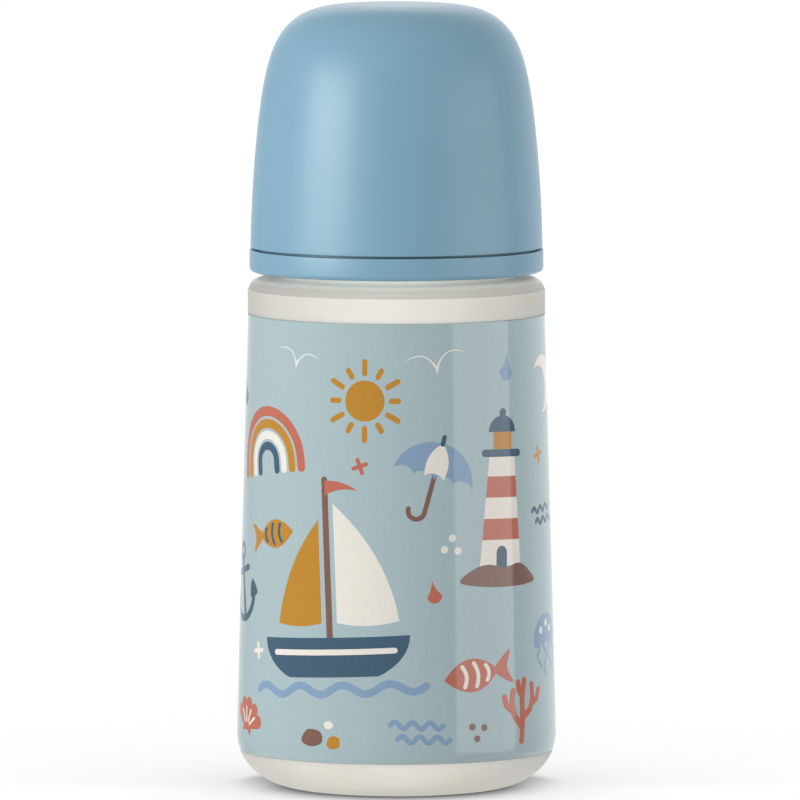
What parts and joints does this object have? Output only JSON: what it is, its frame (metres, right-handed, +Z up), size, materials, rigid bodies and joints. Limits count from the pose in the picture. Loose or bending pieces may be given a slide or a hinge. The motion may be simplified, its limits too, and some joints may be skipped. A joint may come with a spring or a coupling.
{
  "type": "baby bottle",
  "caption": "Wide-neck baby bottle with a printed wrap film, a silicone teat clamped by a screw ring, and a domed cap that clips over it.",
  "frame": {"origin": "centre of the standing face under the bottle", "axes": "+Z up along the bottle's axis; -Y is the printed front, +Y the clear window at the back"},
  "size_m": [0.0694, 0.0691, 0.1691],
  "materials": {
    "bottle_pp": "milky translucent polypropylene, smooth",
    "film": "glossy printed film",
    "silicone": "translucent silicone, fine matt",
    "closure_pp": "satin polypropylene"
  },
  "bodies": {
    "bottle": {"bottle": "bottle_pp", "print_film": "film"},
    "teat": {"teat": "silicone"},
    "screw_ring": {"screw_ring": "closure_pp"},
    "cap": {"cap": "closure_pp"}
  },
  "joints": [
    {"name": "ring_lift", "type": "slide", "parent": "bottle", "child": "teat", "axis": [0, 0, 1], "range_m": [0, 0.0075]},
    {"name": "ring_turn", "type": "hinge", "parent": "teat", "child": "screw_ring", "pos_m": [0, 0, 0.129], "axis": [0, 0, 1], "range_deg": [0, 540]},
    {"name": "cap_lift", "type": "slide", "parent": "screw_ring", "child": "cap", "axis": [0, 0, 1], "range_m": [0, 0.06]}
  ],
  "couplings": [
    {"joint": "ring_lift", "follows": "ring_turn", "m_per_rad": 0.00079577}
  ]
}
